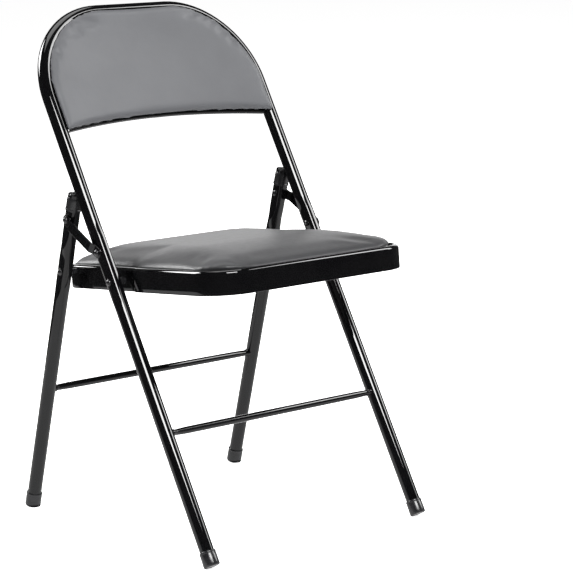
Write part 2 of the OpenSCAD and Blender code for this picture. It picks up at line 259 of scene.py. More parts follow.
# two colours mixed by soft noise
def mottle(tree, place, size, dark, light, low=0.35, high=0.65):
    noise = addNoise(tree, place, size, 3)
    noise.inputs["Roughness"].default_value = 0.55
    ramp = addNode(tree, "ValToRGB", {}, {"Fac": noise.outputs["Fac"]})
    ramp.color_ramp.elements[0].position = low
    ramp.color_ramp.elements[0].color = hexColour(dark)
    ramp.color_ramp.elements[1].position = high
    ramp.color_ramp.elements[1].color = hexColour(light)
    return ramp.outputs["Color"]


def spread(tree, source, low, high):    # a 0 to 1 value turned into a roughness range
    span = addNode(tree, "MapRange", {"To Min": low, "To Max": high}, {"Value": source})
    return span.outputs["Result"]


def enamelFinish(name, mirror, dark, light):
    finish, tree, shader, place = newFinish(name, IOR=1.5, Specular_IOR_Level=mirror)
    peel = addNoise(tree, place, 6 * mm, 1)
    haze = addNoise(tree, place, 60 * mm, 4)
    addBump(tree, shader, peel.outputs["Fac"], 0.01, 0.1 * mm)
    tree.links.new(mottle(tree, place, 40 * mm, dark, light), shader.inputs["Base Color"])
    tree.links.new(spread(tree, haze.outputs["Fac"], 0.01, 0.03), shader.inputs["Roughness"])
    return finish


# baked gloss enamel on the tubes: near black with hard, bright reflections and a faint orange peel
enamel = enamelFinish("blackEnamel", 0.5, "#050506", "#080809")
# the back panel's sheet is sprayed thinner: a deeper black with quieter reflections
sheetEnamel = enamelFinish("blackSheetEnamel", 0.16, "#060607", "#0A0A0B")

# injection moulded polyethylene: dull black with a fine spark-eroded grain
plastic, tree, shader, place = newFinish("mouldedPlastic", IOR=1.5)
grain = addNoise(tree, place, 1.2 * mm, 3)
addBump(tree, shader, grain.outputs["Fac"], 0.05, 0.1 * mm)
tree.links.new(mottle(tree, place, 12 * mm, "#161617", "#1F1F21"), shader.inputs["Base Color"])
tree.links.new(spread(tree, grain.outputs["Fac"], 0.18, 0.28), shader.inputs["Roughness"])

# black coated steel rivets: the formed head is uneven, and shows a small bright spot
rivetSteel, tree, shader, place = newFinish(
    "blackRivetSteel", IOR=1.5, Coat_Weight=0.3, Coat_Roughness=0.08)
dents = addNoise(tree, place, 2.5 * mm, 2)
addBump(tree, shader, dents.outputs["Fac"], 0.02, 0.1 * mm)
tree.links.new(mottle(tree, place, 5 * mm, "#09090A", "#18181A"), shader.inputs["Base Color"])
tree.links.new(spread(tree, dents.outputs["Fac"], 0.1, 0.26), shader.inputs["Roughness"])


def vinylFinish(name, dark, light, rough, leather, crease):
    finish, tree, shader, place = newFinish(name, IOR=1.5, Sheen_Weight=0.12, Sheen_Roughness=0.5)
    pebbles = addNode(tree, "TexVoronoi", {"Scale": 1 / leather, "feature": "SMOOTH_F1"},
                      {"Vector": place})
    folds = addNoise(tree, place, 9 * mm, 5)
    folds.inputs["Distortion"].default_value = 0.4
    both = addNode(tree, "Math", {"operation": "MULTIPLY_ADD", 1: 0.5},
                   {0: folds.outputs["Fac"], 2: pebbles.outputs["Distance"]})
    addBump(tree, shader, both.outputs["Value"], crease, 0.3 * mm)
    tree.links.new(mottle(tree, place, 70 * mm, dark, light), shader.inputs["Base Color"])
    tree.links.new(spread(tree, folds.outputs["Fac"], rough - 0.06, rough + 0.06),
                   shader.inputs["Roughness"])
    return finish


# calendered vinyl on foam: an even mid grey with a soft sheen
# its leather grain is drawn 1.6 mm wide, coarser than the real one, so that it shows
backVinyl = vinylFinish("greyBackVinyl", "#4E4F52", "#515255", 0.52, 1.6 * mm, 0.12)
# the seat's vinyl is darker and a little glossier, so its crown catches the light
seatVinyl = vinylFinish("darkSeatVinyl", "#29292B", "#2D2D2F", 0.46, 1.6 * mm, 0.10)

# pressed fibreboard: brown, dry and speckled, seen only from below
board, tree, shader, place = newFinish("pressedBoard", IOR=1.45)
fibres = addNoise(tree, place, 1.5 * mm, 6)
addBump(tree, shader, fibres.outputs["Fac"], 0.3, 0.3 * mm)
tree.links.new(mottle(tree, place, 3 * mm, "#6B4F33", "#94724C"), shader.inputs["Base Color"])
tree.links.new(spread(tree, fibres.outputs["Fac"], 0.75, 0.95), shader.inputs["Roughness"])

slotFinish = {"black_enamel": enamel, "black_plastic": plastic, "black_fasteners": rivetSteel,
              "board": board, "back_vinyl": backVinyl, "seat_vinyl": seatVinyl}
for part in frame["record"]["subparts"]:
    node = frame["nodes"][part["node"]]
    node.data.materials.clear()
    node.data.materials.append(slotFinish[part["material_slot"]])
print("finishes mixed")


# tubes
tubes = {
    "spokes": 32,
    "footEnd": 9.2 * mm,          # above the foot's axis point
    "rearFootEnd": 5.7 * mm,
    "bendStart": 746.5 * mm,      # where the hoop's bends begin
    "bendRadius": 138 * mm,
    "bendSteps": 20,
    "flatWide": 11.3 * mm,        # half the pressed tube's breadth
    "flatRun": 20 * mm,           # pressed flat this far beyond a rivet
    "easeRun": 26 * mm,           # then easing back to round
    "flatBlunt": (0.5, 0.72),     # how square the pressed section is, across and along
    "lowRing": 200 * mm,          # plain rings between the feet and the flats, and above them
    "highRing": 600 * mm,
    "topFlat": 0.7,               # the leg's upper flat stops short by this share
    "hoopInside": 12 * mm,        # further in than this the tube belongs to the hoop
    "legTop": 512 * mm,
    "ringGap": 4 * mm,
}


def raiseTube(name, start, heights):     # a closed round bar standing at +halfWidth
    clearSelection()
    bpy.ops.mesh.primitive_circle_add(
        vertices=tubes["spokes"], radius=chair["tubeRadius"], fill_type="NGON",
        location=(chair["halfWidth"], 0, start))
    bpy.ops.object.transform_apply(location=True, rotation=True, scale=True)
    piece = openPiece(name)
    low = start
    for height in heights:
        grow((0, 0, height - low))
        low = height
    return piece


def ringsBetween(low, high):
    count = max(1, round((high - low) / tubes["ringGap"]))
    return [low + (high - low) * k / count for k in range(count + 1)]


def pressFlats(piece, zones):     # squeezes the round tube flat between the heights of each zone
    ease = tubes["easeRun"]
    for vertex in piece.data.vertices:
        side = math.copysign(chair["halfWidth"], vertex.co.x)
        dx, dy, z = vertex.co.x - side, vertex.co.y, vertex.co.z
        share = 0
        for low, high in zones:
            gap = max(low - z, z - high, 0)
            share = max(share, 1 - min(gap / ease, 1))
        if share <= 0 or abs(vertex.co.x) < chair["halfWidth"] - tubes["hoopInside"]:
            continue
        share = share * share * (3 - 2 * share)
        turn = math.atan2(dy, dx)
        c, s = math.cos(turn), math.sin(turn)
        flatX = math.copysign(chair["flatHalf"] * abs(c) ** tubes["flatBlunt"][0], c)
        flatY = math.copysign(tubes["flatWide"] * abs(s) ** tubes["flatBlunt"][1], s)
        reach = math.hypot(dx, dy) / chair["tubeRadius"]
        vertex.co.x = side + dx + (flatX * reach - dx) * share
        vertex.co.y = dy + (flatY * reach - dy) * share


def makeFrontFrame():
    low = chair["seatPivotUp"] - tubes["flatRun"]
    high = chair["linkPivotUp"] + tubes["flatRun"]
    ease = tubes["easeRun"]
    heights = [tubes["lowRing"]] + ringsBetween(low - ease, high + ease)
    heights += [tubes["highRing"], tubes["bendStart"]]
    piece = raiseTube("frontFrame", tubes["footEnd"], heights)
    bendX = chair["halfWidth"] - tubes["bendRadius"]
    bpy.ops.mesh.spin(steps=tubes["bendSteps"], angle=math.pi / 2,
                      center=(bendX, 0, tubes["bendStart"]), axis=(0, 1, 0))
    grow((-bendX, 0, 0))
    bpy.ops.mesh.delete(type="ONLY_FACE")
    closePiece(piece)
    useModifier(piece, "MIRROR", use_axis=(True, False, False), merge_threshold=0.0001)
    pressFlats(piece, [(low, high)])
    bpy.ops.object.mode_set(mode="EDIT")
    closePiece(piece)
    smoothPiece(piece, 50)
    setDown(piece, frontPlace)
    return fitPiece(piece, "frame", enamel, "black_enamel", "front_frame")


def makeRearLegs():
    ease, run = tubes["easeRun"], tubes["flatRun"]
    zones = [(chair["legSeatUp"] - run, chair["legSeatUp"] + run),
             (chair["legLinkUp"] - run, chair["legLinkUp"] + run * tubes["topFlat"])]
    heights = [tubes["lowRing"]] + ringsBetween(zones[0][0] - ease, zones[1][1] + ease)
    heights += [tubes["legTop"]]
    left = raiseTube("leftRearLeg", tubes["rearFootEnd"], heights)
    closePiece(left)
    pressFlats(left, zones)
    smoothPiece(left, 50)
    setDown(left, rearPlace)
    right = copyPiece(left, "rightRearLeg", mirror=True)
    smoothPiece(right, 50)
    fitPiece(left, "rear_legs", enamel, "black_enamel", "left_rear_leg")
    fitPiece(right, "rear_legs", enamel, "black_enamel", "right_rear_leg")


makeFrontFrame()
makeRearLegs()
print("frame tubes bent and pressed")

# stretchers
stretchers = {"radius": 5.5 * mm, "frontUp": 208.5 * mm, "rearUp": 201.8 * mm,
              "beadRadius": 7 * mm, "beadLong": 4 * mm, "pinch": 0.82, "pinchRun": 26 * mm,
              "plainRings": (0, 60 * mm, 120 * mm)}


def makeStretcher(name, up, place, body, node):
    reach = chair["halfWidth"] - chair["tubeRadius"]
    s = stretchers
    rings = [(along, s["radius"]) for along in s["plainRings"]]
    rings += [(reach - s["pinchRun"] + k * 3 * mm, s["radius"]) for k in range(7)]
    rings += [(reach - s["beadLong"], s["radius"]), (reach - 2.6 * mm, s["radius"] + 0.7 * mm),
              (reach - 0.8 * mm, s["beadRadius"]), (reach + 3 * mm, s["beadRadius"] - 0.4 * mm)]
    piece = turnedPiece(name, rings, 28)
    bpy.ops.object.mode_set(mode="EDIT")
    pick(piece, "FACE", lambda c, n: c.z < 1e-5 and n.z < -0.9)
    bpy.ops.mesh.delete(type="ONLY_FACE")
    bpy.ops.object.mode_set(mode="OBJECT")
    useModifier(piece, "MIRROR", use_axis=(False, False, True), merge_threshold=0.0001)
    for vertex in piece.data.vertices:      # the ends are pinched a little for the weld
        gap = reach - abs(vertex.co.z)
        share = 1 - min(max(gap - s["beadLong"], 0) / s["pinchRun"], 1)
        vertex.co.x *= 1 - (1 - s["pinch"]) * share
    bpy.ops.object.mode_set(mode="EDIT")
    closePiece(piece)
    piece.rotation_euler = (0, math.pi / 2, 0)
    piece.location = (0, 0, up)
    bpy.ops.object.transform_apply(location=True, rotation=True, scale=True)
    smoothPiece(piece, 50)
    setDown(piece, place)
    return fitPiece(piece, body, enamel, "black_enamel", node)


makeStretcher("frontStretcher", stretchers["frontUp"], frontPlace, "frame", "front_stretcher")
makeStretcher("rearStretcher", stretchers["rearUp"], rearPlace, "rear_legs", "rear_stretcher")
print("stretchers welded on")

# plastic caps
caps = {
    "footRadius": 12.25 * mm,
    "topRadius": 12.3 * mm,
    "topStart": 496.8 * mm,
    "topTall": 27.8 * mm,
    "topSteps": 9,
    "topWaist": 0.945,            # the cap's dome, as a share of its collar
    "sink": 1 * mm,
    "chamfer": 1.5 * mm,
    "spokes": 48,
    # height in mm and share of the radius, from the sole up to the mouth
    "footProfile": (
        (0, 0.5), (0, 0.78), (0.15, 0.87), (0.6, 0.94), (1.4, 0.98), (2.6, 1.0), (5, 1.0),
        (19, 0.99), (19.4, 0.98), (19.8, 1.0), (21.4, 1.0), (22.3, 0.985), (22.8, 0.955),
        (22.9, 0.93), (22.9, 0.895), (21.5, 0.87), (21.5, 0.80)),
}


def makeFootCaps(name, lean, place, body, node):
    radius = caps["footRadius"]
    low = ((radius - caps["chamfer"]) * math.sin(lean) - caps["sink"]) / math.cos(lean)
    rings = [(low + height * mm, radius * share) for height, share in caps["footProfile"]]
    cap = turnedPiece(name, rings, caps["spokes"], (chair["halfWidth"], 0, 0))
    setDown(cap, place)
    bpy.ops.object.mode_set(mode="EDIT")
    bpy.ops.mesh.select_all(action="SELECT")
    bpy.ops.mesh.bisect(plane_co=(0, 0, 0), plane_no=(0, 0, 1), clear_inner=True, use_fill=True)
    closePiece(cap)
    twin = copyPiece(cap, name + "Twin", mirror=True)
    joinPieces(cap, twin)
    smoothPiece(cap, 35)
    return fitPiece(cap, body, plastic, "black_plastic", node)


makeFootCaps("frontFootCaps", frontLean, frontPlace, "frame", "front_foot_caps")
makeFootCaps("rearFootCaps", chair["rearLean"], rearPlace, "rear_legs", "rear_foot_caps")


def makeTopCaps():
    radius, low, tall = caps["topRadius"], caps["topStart"], caps["topTall"]
    steps, waist = caps["topSteps"], caps["topWaist"]
    rings = [(low, radius * 0.9), (low, radius), (low + 2.6 * mm, radius),
             (low + 3.1 * mm, radius * 0.955), (low + 9 * mm, radius * 0.95),
             (low + 15 * mm, radius * waist)]
    dome = tall - 16 * mm
    for k in range(1, steps + 1):
        turn = math.radians(86) * k / steps
        rings.append((low + 16 * mm + dome * math.sin(turn), radius * waist * math.cos(turn)))
    cap = turnedPiece("rearTopCaps", rings, 40, (chair["halfWidth"], 0, 0))
    setDown(cap, rearPlace)
    twin = copyPiece(cap, "rearTopCapsTwin", mirror=True)
    joinPieces(cap, twin)
    smoothPiece(cap, 35)
    return fitPiece(cap, "rear_legs", plastic, "black_plastic", "rear_leg_top_caps")


makeTopCaps()
print("caps moulded")

# links
links = {"wide": 16 * mm, "thick": 2.5 * mm, "bow": 4.2 * mm, "tab": 8 * mm, "ramp": 7 * mm,
         "gap": 0.4 * mm, "edge": 0.5 * mm, "spokes": 32}


def makeLinks():
    s = links
    long = (legPivot - linkPivot).length
    lean = math.atan2(legPivot.z - linkPivot.z, legPivot.y - linkPivot.y)
    inner = chair["halfWidth"] + chair["flatHalf"] + s["gap"]
    clearSelection()
    bpy.ops.mesh.primitive_circle_add(
        vertices=s["spokes"], radius=s["wide"] / 2, fill_type="NGON")
    left = openPiece("leftLink")
    bpy.ops.object.mode_set(mode="OBJECT")
    for vertex in left.data.vertices:      # the round blank is drawn out to a strip
        if vertex.co.y > 1e-5:
            vertex.co.y += long
    bpy.ops.object.mode_set(mode="EDIT")
    low, high = s["tab"], s["tab"] + s["ramp"]
    steps = [low + (high - low) * k / 6 for k in range(7)]
    cutAcross(steps + [long - y for y in steps] + [long * k / 8 for k in range(2, 7)], 1)
    cutAcross([-s["wide"] / 2 + 1.4 * mm, 0, s["wide"] / 2 - 1.4 * mm], 0)
    bpy.ops.mesh.select_all(action="SELECT")
    bpy.ops.mesh.extrude_region_move(TRANSFORM_OT_translate={"value": (0, 0, s["thick"])})
    bpy.ops.mesh.select_all(action="SELECT")
    bpy.ops.mesh.normals_make_consistent(inside=False)
    bpy.ops.object.mode_set(mode="OBJECT")
    for vertex in left.data.vertices:      # the middle is set off outwards by the joggles
        y = vertex.co.y
        share = min(max((min(y, long - y) - low) / (high - low), 0), 1)
        vertex.co.z += s["bow"] * share * share * (3 - 2 * share)
    useModifier(left, "BEVEL", width=s["edge"], segments=2, limit_method="ANGLE",
                angle_limit=math.radians(50))
    # the strip lies flat with its outer face up: this turns that face to the side
    left.data.transform(Matrix(((0, 0, 1, inner), (0, 1, 0, 0), (-1, 0, 0, 0), (0, 0, 0, 1))))
    setDown(left, (linkPivot, lean))
    bpy.ops.object.mode_set(mode="EDIT")
    closePiece(left)
    smoothPiece(left, 40)
    right = copyPiece(left, "rightLink", mirror=True)
    smoothPiece(right, 40)
    fitPiece(left, "left_link", enamel, "black_enamel", "left_link")
    fitPiece(right, "right_link", enamel, "black_enamel", "right_link")


makeLinks()
print("links pressed")

# rivets
rivets = {
    "shank": 3 * mm,
    "head": 5.5 * mm,
    "tail": 4.5 * mm,
    "play": 0.4 * mm,             # gap between the rivets' inner ends and the pan's skirt
    "spokes": 28,
    # height in mm and share of the head's radius, from its flange up to its crown
    "headProfile": ((0, 0.9), (0, 1.0), (0.7, 1.0), (0.9, 0.93), (0.95, 0.84), (1.7, 0.80),
                    (2.6, 0.68), (3.3, 0.5), (3.75, 0.28), (3.95, 0.06)),
}


def makeRivets(name, up, place, body, node, tailEnd, headStart, tailTall=2.9 * mm):
    s = rivets
    rings = [(tailEnd - tailTall, s["tail"] * 0.3), (tailEnd - tailTall * 0.95, s["tail"] * 0.72),
             (tailEnd - tailTall * 0.7, s["tail"] * 0.96), (tailEnd, s["tail"]),
             (tailEnd, s["shank"])]
    if not tailTall:              # a plain end, as on the rivets that stop at the pan's skirt
        rings = [(tailEnd, s["shank"] * 0.9), (tailEnd + 0.3 * mm, s["shank"])]
    rings += [(headStart, s["shank"])]
    rings += [(headStart + h * mm, s["head"] * share) for h, share in s["headProfile"]]
    rivet = turnedPiece(name, rings, s["spokes"])
    rivet.rotation_euler = (0, math.pi / 2, 0)
    rivet.location = (chair["halfWidth"], 0, up)
    bpy.ops.object.transform_apply(location=True, rotation=True, scale=True)
    setDown(rivet, place)
    twin = copyPiece(rivet, name + "Twin", mirror=True)
    joinPieces(rivet, twin)
    smoothPiece(rivet, 35)
    return fitPiece(rivet, body, rivetSteel, "black_fasteners", node)


flat = chair["flatHalf"]
overLink = flat + links["thick"] + 2 * links["gap"]
pan = {
    "half": 189.25 * mm,          # half width in front of the joggle
    "narrow": 184.25 * mm,        # and behind it
    "front": 229 * mm,            # from the pivot to the front edge
    "rear": 152 * mm,
    "low": -16.5 * mm,
    "tall": 36 * mm,
    "stepFrom": 22 * mm,
    "stepTo": 30 * mm,
    "frontCorner": 56 * mm,       # rounding of the plan at the front
    "rearCorner": 28 * mm,
    "edge": 5.8 * mm,             # radius of the pressed top edge
    "rim": 7 * mm,                # from the outside in to the dish that holds the pad
    "dish": 3 * mm,
    "hem": 2.2 * mm,              # height of the skirt's rolled lower edge
    "sheet": 1.2 * mm,
    "edgeSteps": 6,
    "frontSteps": 14,             # cuts round each plan corner
    "rearSteps": 10,
}
skirt = pan["narrow"] - chair["halfWidth"]
makeRivets("linkFrontRivets", chair["linkPivotUp"], frontPlace, "frame",
           "link_front_rivets", -flat, overLink)
makeRivets("linkRearRivets", chair["legLinkUp"], rearPlace, "rear_legs",
           "link_rear_rivets", -flat, overLink)
makeRivets("seatFrontRivets", chair["seatPivotUp"], frontPlace, "frame",
           "seat_front_rivets", skirt - pan["sheet"] - rivets["play"], flat)
makeRivets("seatRearRivets", chair["legSeatUp"], rearPlace, "rear_legs",
           "seat_rear_rivets", skirt + rivets["play"], flat, 0)
print("rivets set")


# seat pan
def seatBlank(name, inset, z, corner):   # the flat plan of the seat, drawn in by inset
    clearSelection()
    bpy.ops.mesh.primitive_plane_add(size=1)
    piece = openPiece(name)
    long = pan["front"] + pan["rear"] - 2 * inset
    wide, narrow = pan["half"] - inset, pan["narrow"] - inset
    middle = (pan["rear"] - pan["front"]) / 2
    bpy.ops.transform.resize(value=(2 * wide, long, 1), center_override=(0, 0, 0))
    bpy.ops.transform.translate(value=(0, middle, z))
    cutAcross([-pan["stepTo"], -pan["stepFrom"]], 1)
    pick(piece, "VERT", lambda co: co.y > -pan["stepFrom"] - 1e-4)
    bpy.ops.transform.resize(value=(narrow / wide, 1, 1), center_override=(0, 0, 0))
    pick(piece, "VERT", lambda co: co.y < -pan["front"] + inset + 1e-4)
    bpy.ops.mesh.bevel(affect="VERTICES", offset=corner, segments=pan["frontSteps"])
    pick(piece, "VERT", lambda co: co.y > pan["rear"] - inset - 1e-4)
    bpy.ops.mesh.bevel(affect="VERTICES", offset=pan["rearCorner"] - inset,
                       segments=pan["rearSteps"])
    bpy.ops.mesh.select_mode(type="FACE")
    bpy.ops.mesh.select_all(action="SELECT")
    bpy.ops.mesh.dissolve_faces()
    bpy.ops.mesh.normals_make_consistent(inside=False)
    pick(piece, "FACE", lambda c, n: True)
    return piece


def stepIn(inward, upward):       # insets the selected face and raises or sinks it
    bpy.ops.mesh.inset(thickness=max(inward, 1e-5), depth=upward, use_even_offset=True)


def makeSeatPan():
    s = pan
    top = s["low"] + s["tall"]
    piece = seatBlank("seatPan", 0, top - s["edge"], s["frontCorner"])
    turn = 0
    for k in range(1, s["edgeSteps"] + 1):
        nextTurn = math.pi / 2 * k / s["edgeSteps"]
        stepIn(s["edge"] * (math.cos(turn) - math.cos(nextTurn)),
               s["edge"] * (math.sin(nextTurn) - math.sin(turn)))
        turn = nextTurn
    stepIn(s["rim"] - s["edge"] - 1 * mm, 0)
    stepIn(0.8 * mm, -0.4 * mm)
    stepIn(0.6 * mm, -1.2 * mm)
    stepIn(0.6 * mm, s["dish"] * -1 + 1.6 * mm)
    stepIn(40 * mm, 0)
    low = top - s["edge"]
    pick(piece, "EDGE", lambda co: co.z < low + 1e-6)
    grow((0, 0, s["low"] + s["hem"] - low))
    middle = (0, (s["rear"] - s["front"]) / 2, 0)
    halfLong = (s["rear"] + s["front"]) / 2
    for k in range(1, 6):         # the skirt's lower edge is rolled in to a hem
        turn, last = math.radians(36) * k, math.radians(36) * (k - 1)
        inward = s["hem"] / 2 * (math.cos(last) - math.cos(turn))
        down = -s["hem"] / 2 * (math.sin(turn) - math.sin(last))
        grow((0, 0, down - (s["hem"] / 2 if k == 1 else 0)),
             (1 - inward / s["half"], 1 - inward / halfLong, 1), middle)
    bpy.ops.mesh.select_all(action="SELECT")
    bpy.ops.mesh.normals_make_consistent(inside=False)
    bpy.ops.object.mode_set(mode="OBJECT")
    panTop = [face for face in piece.data.polygons if face.center.z > top - s["dish"] - 1e-4]
    if sum(face.normal.z for face in panTop) < 0:
        bpy.ops.object.mode_set(mode="EDIT")
        bpy.ops.mesh.select_all(action="SELECT")
        bpy.ops.mesh.flip_normals()
        bpy.ops.object.mode_set(mode="OBJECT")
    useModifier(piece, "SOLIDIFY", thickness=s["sheet"], offset=-1, use_even_offset=True,
                use_rim=True)
    smoothPiece(piece, 30)
    setDown(piece, seatPlace)
    return fitPiece(piece, "seat", enamel, "black_enamel", "seat_pan")


makeSeatPan()
print("seat pan pressed")


# soft pads
def puffUp(piece, soft, held):    # cloth under air pressure, held where the pad is tucked in
    onlyPiece(piece)
    piece.data.remesh_voxel_size = soft["voxel"]
    bpy.ops.object.voxel_remesh()
    start = [vertex.co.copy() for vertex in piece.data.vertices]
    group = piece.vertex_groups.new(name="held")
    group.add([vertex.index for vertex in piece.data.vertices if held(vertex.co)], 1, "REPLACE")
    cloth = piece.modifiers.new("cloth", "CLOTH")
    cloth.settings.use_pressure = True
    cloth.settings.uniform_pressure_force = soft["pressure"]
    cloth.settings.vertex_group_mass = "held"
    cloth.settings.effector_weights.gravity = 0
    cloth.settings.tension_stiffness = 25
    cloth.settings.compression_stiffness = 25
    cloth.settings.bending_stiffness = 1.5
    cloth.point_cache.frame_start = 1
    cloth.point_cache.frame_end = soft["frames"]
    for step in range(1, soft["frames"] + 1):
        scene.frame_set(step)
    bpy.ops.object.modifier_apply(modifier="cloth")
    scene.frame_set(1)
    for vertex, was in zip(piece.data.vertices, start):
        moved = vertex.co - was
        if moved.length > soft["cap"]:
            vertex.co = was + moved * (soft["cap"] / moved.length)
    piece.vertex_groups.clear()
    useModifier(piece, "SMOOTH", factor=0.5, iterations=soft["smoothing"])
    useModifier(piece, "SUBSURF", levels=1, render_levels=1)
    bpy.ops.object.shade_smooth()


# how far inside a rounded oblong a spot lies
def roundedGap(x, y, halfX, lowY, highY, cornerLow, cornerHigh):
    corner = cornerLow if y < (lowY + highY) / 2 else cornerHigh
    across = abs(x) - (halfX - corner)
    along = max(lowY + corner - y, y - highY + corner)
    return corner - (math.hypot(max(across, 0), max(along, 0)) + min(max(across, along), 0))


def swell(gap, run, power):       # 0 at the edge, rising steeply, 1 from run inwards
    return (1 - (1 - min(max(gap / run, 0), 1)) ** power) ** (1 / power)


def edgeCuts(low, high, steps, gap):   # cuts close together by both edges and gap apart between
    near = [low + step for step in steps] + [high - step for step in steps]
    first, last = low + steps[-1] + gap, high - steps[-1] - gap
    count = max(2, round((last - first) / gap))
    return near + [first + (last - first) * k / count for k in range(count + 1)]


seatPad = {
    "inset": 5.5 * mm, "tuck": 3 * mm, "corner": 66 * mm, "base": -2.7 * mm,
    "edge": 2.5 * mm, "shoulder": 4 * mm, "shoulderRun": 14 * mm,
    "crown": 19.5 * mm, "sideRun": 75 * mm, "frontRun": 135 * mm, "rearRun": 60 * mm,
    "voxel": 4 * mm, "pressure": 4, "frames": 20, "cap": 2 * mm, "smoothing": 12,
    "cuts": (1.5, 4, 8, 13, 19, 26), "cutGap": 12 * mm,
}


def makeSeatPad():
    s = seatPad
    base = pan["low"] + pan["tall"] + s["base"]
    piece = seatBlank("seatPad", s["inset"], 0, s["corner"])
    steps = [cut * mm for cut in s["cuts"]]
    low, high = s["inset"] - pan["front"], pan["rear"] - s["inset"]
    middle = (low + high) / 2
    cutAcross(edgeCuts(s["inset"] - pan["half"], pan["half"] - s["inset"], steps, s["cutGap"]), 0)
    cutAcross(edgeCuts(low, high, steps, s["cutGap"]), 1)
    bpy.ops.mesh.select_all(action="SELECT")
    grow((0, 0, -0.1))
    bpy.ops.object.mode_set(mode="OBJECT")
    for vertex in piece.data.vertices:      # a soft shoulder round the edge, then a broad crown
        if vertex.co.z < -0.05:             # the underside is drawn in, tucked inside the pan's rim
            vertex.co.z = base
            vertex.co.x *= 1 - s["tuck"] / pan["half"]
            vertex.co.y = middle + (vertex.co.y - middle) * (1 - 2 * s["tuck"] / (high - low))
            continue
        x, y = vertex.co.x, vertex.co.y
        share = min(max((y + pan["stepTo"]) / (pan["stepTo"] - pan["stepFrom"]), 0), 1)
        half = pan["half"] + (pan["narrow"] - pan["half"]) * share - s["inset"]
        gap = roundedGap(x, y, half, low, high, s["corner"], pan["rearCorner"])
        vertex.co.z = (base + s["edge"] + s["shoulder"] * swell(gap, s["shoulderRun"], 2)
                       + s["crown"] * swell(half - abs(x), s["sideRun"], 1.6)
                       * swell(y - low, s["frontRun"], 1.5) * swell(high - y, s["rearRun"], 1.6))
    bpy.ops.object.mode_set(mode="EDIT")
    closePiece(piece)
    puffUp(piece, s, lambda co: co.z < base + 2 * mm)
    setDown(piece, seatPlace)
    return fitPiece(piece, "seat", seatVinyl, "seat_vinyl", "seat_cushion", "seat_board")


makeSeatPad()
print("seat pad stuffed")

# backrest
back = {
    "half": 203.5 * mm,
    "bottom": 687.5 * mm,
    "top": 883 * mm,
    "arch": 20 * mm,
    "corner": 136.5 * mm,
    "lowCorner": 7 * mm,
    "edgeDepth": -16 * mm,        # the pad's face at its sides, in front of the tubes' plane
    "sag": 20 * mm,
    "curlFrom": 781.5 * mm,
    "curlRadius": 290 * mm,
    "cornerSteps": 24,
    "lowSteps": 6,
    "sideCuts": (1, 2.5, 5, 8.5, 12, 20),
    "cutGap": 14 * mm,
    "lowCuts": (1, 2.5, 5, 9, 14),
    "topCuts": (8, 5, 2.5, 1),
    "archRun": 25 * mm,           # the arch fades out this far above the bottom edge
}
backRadius = (back["half"] ** 2 + back["sag"] ** 2) / (2 * back["sag"])


def backDepth(x, up):             # the curved face of the backrest, square to the tubes' plane
    curl = max(up - back["curlFrom"], 0) ** 2 / (2 * back["curlRadius"])
    fall = backRadius - math.sqrt(backRadius ** 2 - x * x)
    return back["edgeDepth"] + back["sag"] - fall - curl


def backBlank(name, inset, rows):     # the flat outline of the backrest, facing forward
    clearSelection()
    bpy.ops.mesh.primitive_plane_add(size=1, rotation=(math.pi / 2, 0, 0))
    bpy.ops.object.transform_apply(location=True, rotation=True, scale=True)
    piece = openPiece(name)
    half = back["half"] - inset
    bottom, top = back["bottom"] + inset, back["top"] - inset
    bpy.ops.transform.resize(value=(2 * half, 1, top - bottom), center_override=(0, 0, 0))
    bpy.ops.transform.translate(value=(0, 0, (top + bottom) / 2))
    pick(piece, "VERT", lambda co: co.z > top - 1e-4)
    bpy.ops.mesh.bevel(affect="VERTICES", offset=back["corner"] - inset,
                       segments=back["cornerSteps"])
    pick(piece, "VERT", lambda co: co.z < bottom + 1e-4)
    bpy.ops.mesh.bevel(affect="VERTICES", offset=back["lowCorner"], segments=back["lowSteps"])
    cutAcross(edgeCuts(-half, half, [cut * mm for cut in back["sideCuts"]], back["cutGap"]), 0)
    cutAcross([bottom + cut * mm for cut in back["lowCuts"]], 2)
    cutAcross([bottom + 25 * mm + (top - bottom - 37 * mm) * k / rows for k in range(rows)], 2)
    cutAcross([top - cut * mm for cut in back["topCuts"]], 2)
    bpy.ops.object.mode_set(mode="OBJECT")
    for vertex in piece.data.vertices:      # the bottom edge rises in an arch
        share = max(1 - (vertex.co.z - bottom) / back["archRun"], 0)
        vertex.co.z += back["arch"] * (1 - (vertex.co.x / half) ** 2) * share
    bpy.ops.object.mode_set(mode="EDIT")
    pick(piece, "FACE", lambda c, n: True)
    return piece


def curveBack(piece):             # bends the flat piece to the backrest's curve
    for vertex in piece.data.vertices:
        vertex.co.y += backDepth(vertex.co.x, vertex.co.z)


backPad = {
    "inset": 0.5 * mm, "round": 9 * mm, "roll": 6 * mm, "crown": 2.5 * mm, "crownRun": 60 * mm,
    "lap": 5.2 * mm, "lapRun": 8 * mm, "thick": 10 * mm,
    "voxel": 3 * mm, "pressure": 4, "frames": 20, "cap": 2 * mm, "smoothing": 6, "rows": 22,
}


